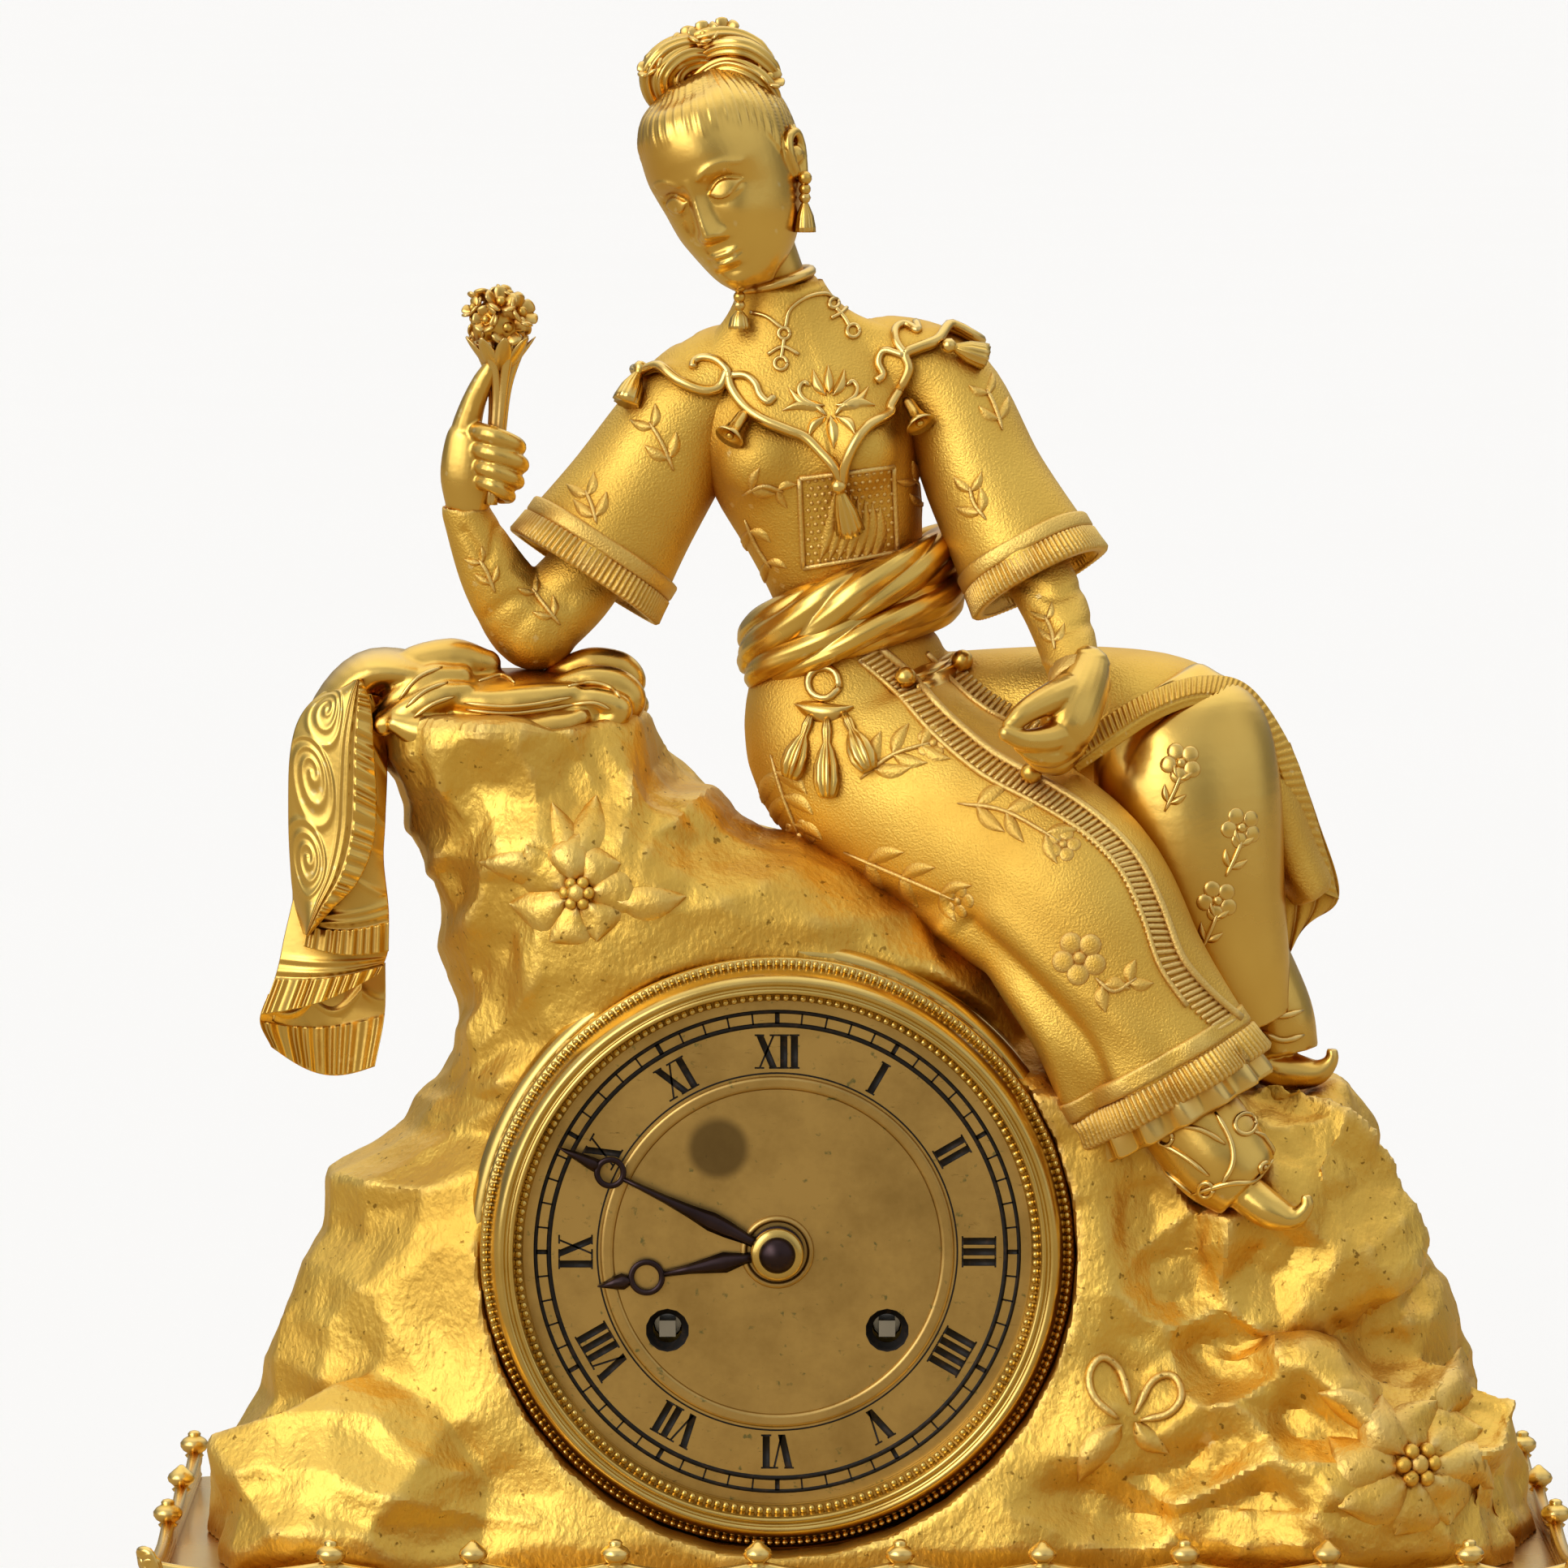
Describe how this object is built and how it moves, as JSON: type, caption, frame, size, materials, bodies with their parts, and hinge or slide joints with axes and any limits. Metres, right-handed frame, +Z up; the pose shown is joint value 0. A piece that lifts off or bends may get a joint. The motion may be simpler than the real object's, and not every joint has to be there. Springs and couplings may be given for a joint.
{
  "type": "table clock",
  "caption": "Gilt-bronze table clock: a seated robed figure leans on a rock that holds a round striking clock, on a moulded base with a low gallery.",
  "frame": {"origin": "middle of the base at the surface that the feet stand on", "axes": "+Z up, +X to the right as seen from the front, -Y towards the viewer who reads the dial"},
  "size_m": [0.26, 0.136, 0.3289],
  "materials": {
    "matte_gilt_bronze": "matt, stippled mercury gilding",
    "burnished_gilt_bronze": "burnished mercury gilding",
    "dial_gilt_brass": "satin gilt brass with black painted figures",
    "movement_brass": "grained brass",
    "steel": "polished steel",
    "blued_steel": "heat-blued steel, aged dark",
    "bell_metal": "turned bell bronze"
  },
  "bodies": {
    "case": {"base_plinth": "burnished_gilt_bronze", "foot_front_left": "burnished_gilt_bronze", "foot_front_right": "burnished_gilt_bronze", "foot_rear_left": "burnished_gilt_bronze", "foot_rear_right": "burnished_gilt_bronze", "rock_bolt_left": "steel", "rock_bolt_right": "steel", "gallery_front": "burnished_gilt_bronze", "gallery_left": "burnished_gilt_bronze", "gallery_right": "burnished_gilt_bronze", "rock": "matte_gilt_bronze", "tunic_skirt": "matte_gilt_bronze", "inner_skirt": "burnished_gilt_bronze", "bodice": "matte_gilt_bronze", "right_sleeve": "matte_gilt_bronze", "left_sleeve": "matte_gilt_bronze", "sash": "burnished_gilt_bronze", "cape_collar": "matte_gilt_bronze", "head": "burnished_gilt_bronze", "hair_knot": "burnished_gilt_bronze", "right_forearm": "matte_gilt_bronze", "left_forearm": "matte_gilt_bronze", "right_hand": "burnished_gilt_bronze", "left_hand": "burnished_gilt_bronze", "bouquet": "burnished_gilt_bronze", "shawl": "burnished_gilt_bronze", "right_leg": "burnished_gilt_bronze", "left_leg": "burnished_gilt_bronze", "bezel": "burnished_gilt_bronze", "dial": "dial_gilt_brass", "front_plate": "movement_brass", "back_plate": "movement_brass", "bell": "bell_metal", "bell_stand": "steel", "rear_ring": "burnished_gilt_bronze", "door_hinge_pin": "steel", "strap_upper": "movement_brass", "strap_lower": "movement_brass"},
    "minute_work": {"centre_arbor": "movement_brass", "cannon_pinion": "steel", "minute_hand": "blued_steel", "hand_nut": "blued_steel"},
    "hour_work": {"hour_wheel": "movement_brass", "hour_hand": "blued_steel"},
    "minute_wheel": {"minute_wheel": "movement_brass"},
    "going_barrel": {"going_barrel": "movement_brass", "going_mainspring": "steel"},
    "third_wheel": {"third_wheel": "movement_brass"},
    "escape_wheel": {"escape_wheel": "movement_brass"},
    "strike_barrel": {"strike_barrel": "movement_brass", "strike_mainspring": "steel"},
    "strike_pin_wheel": {"strike_pin_wheel": "movement_brass"},
    "fly": {"fly": "movement_brass"},
    "going_winding_arbor": {"going_winding_arbor": "steel"},
    "strike_winding_arbor": {"strike_winding_arbor": "steel"},
    "pendulum": {"pallets": "steel", "pendulum": "movement_brass"},
    "strike_hammer": {"strike_hammer": "steel"},
    "rear_door": {"rear_door": "burnished_gilt_bronze"}
  },
  "joints": [
    {"name": "minute_turn", "type": "hinge", "parent": "case", "child": "minute_work", "pos_m": [-0.0152, -0.035, 0.1125], "axis": [0, 1, 0], "continuous": true},
    {"name": "hour_turn", "type": "hinge", "parent": "case", "child": "hour_work", "pos_m": [-0.0152, -0.035, 0.1125], "axis": [0, 1, 0], "continuous": true},
    {"name": "minute_wheel_turn", "type": "hinge", "parent": "case", "child": "minute_wheel", "pos_m": [-0.0152, -0.027, 0.1245], "axis": [0, 1, 0], "continuous": true},
    {"name": "going_barrel_turn", "type": "hinge", "parent": "case", "child": "going_barrel", "pos_m": [0.0044, -0.005, 0.0984], "axis": [0, 1, 0], "continuous": true},
    {"name": "third_wheel_turn", "type": "hinge", "parent": "case", "child": "third_wheel", "pos_m": [-0.00318, -0.005, 0.12452], "axis": [0, 1, 0], "continuous": true},
    {"name": "escape_wheel_turn", "type": "hinge", "parent": "case", "child": "escape_wheel", "pos_m": [-0.0152, -0.005, 0.13654], "axis": [0, 1, 0], "continuous": true},
    {"name": "strike_barrel_turn", "type": "hinge", "parent": "case", "child": "strike_barrel", "pos_m": [-0.0348, -0.005, 0.0984], "axis": [0, 1, 0], "continuous": true},
    {"name": "strike_pin_wheel_turn", "type": "hinge", "parent": "case", "child": "strike_pin_wheel", "pos_m": [-0.02871, -0.005, 0.12177], "axis": [0, 1, 0], "continuous": true},
    {"name": "fly_turn", "type": "hinge", "parent": "case", "child": "fly", "pos_m": [-0.03953, -0.005, 0.13488], "axis": [0, 1, 0], "continuous": true},
    {"name": "going_winding", "type": "hinge", "parent": "case", "child": "going_winding_arbor", "pos_m": [0.0044, -0.02, 0.0984], "axis": [0, 1, 0], "continuous": true},
    {"name": "strike_winding", "type": "hinge", "parent": "case", "child": "strike_winding_arbor", "pos_m": [-0.0348, -0.02, 0.0984], "axis": [0, 1, 0], "continuous": true},
    {"name": "pendulum_swing", "type": "hinge", "parent": "case", "child": "pendulum", "pos_m": [-0.0152, 0.0175, 0.14804], "axis": [0, 1, 0], "range_deg": [-4, 4]},
    {"name": "hammer_lift", "type": "hinge", "parent": "case", "child": "strike_hammer", "pos_m": [0.0178, 0.014, 0.0945], "axis": [0, 1, 0], "range_deg": [0, 8], "stiffness_Nm_per_rad": 0.05, "springref_deg": -5.73},
    {"name": "rear_door_hinge", "type": "hinge", "parent": "case", "child": "rear_door", "pos_m": [-0.0624, 0.048, 0.1125], "axis": [0, 0, 1], "range_deg": [0, 110]}
  ],
  "couplings": [
    {"joint": "minute_turn", "follows": "going_barrel_turn", "ratio": -3},
    {"joint": "hour_turn", "follows": "going_barrel_turn", "ratio": -0.25},
    {"joint": "minute_wheel_turn", "follows": "going_barrel_turn", "ratio": 1},
    {"joint": "third_wheel_turn", "follows": "going_barrel_turn", "ratio": 12},
    {"joint": "escape_wheel_turn", "follows": "going_barrel_turn", "ratio": -48},
    {"joint": "strike_pin_wheel_turn", "follows": "strike_barrel_turn", "ratio": -3},
    {"joint": "fly_turn", "follows": "strike_barrel_turn", "ratio": 12}
  ]
}
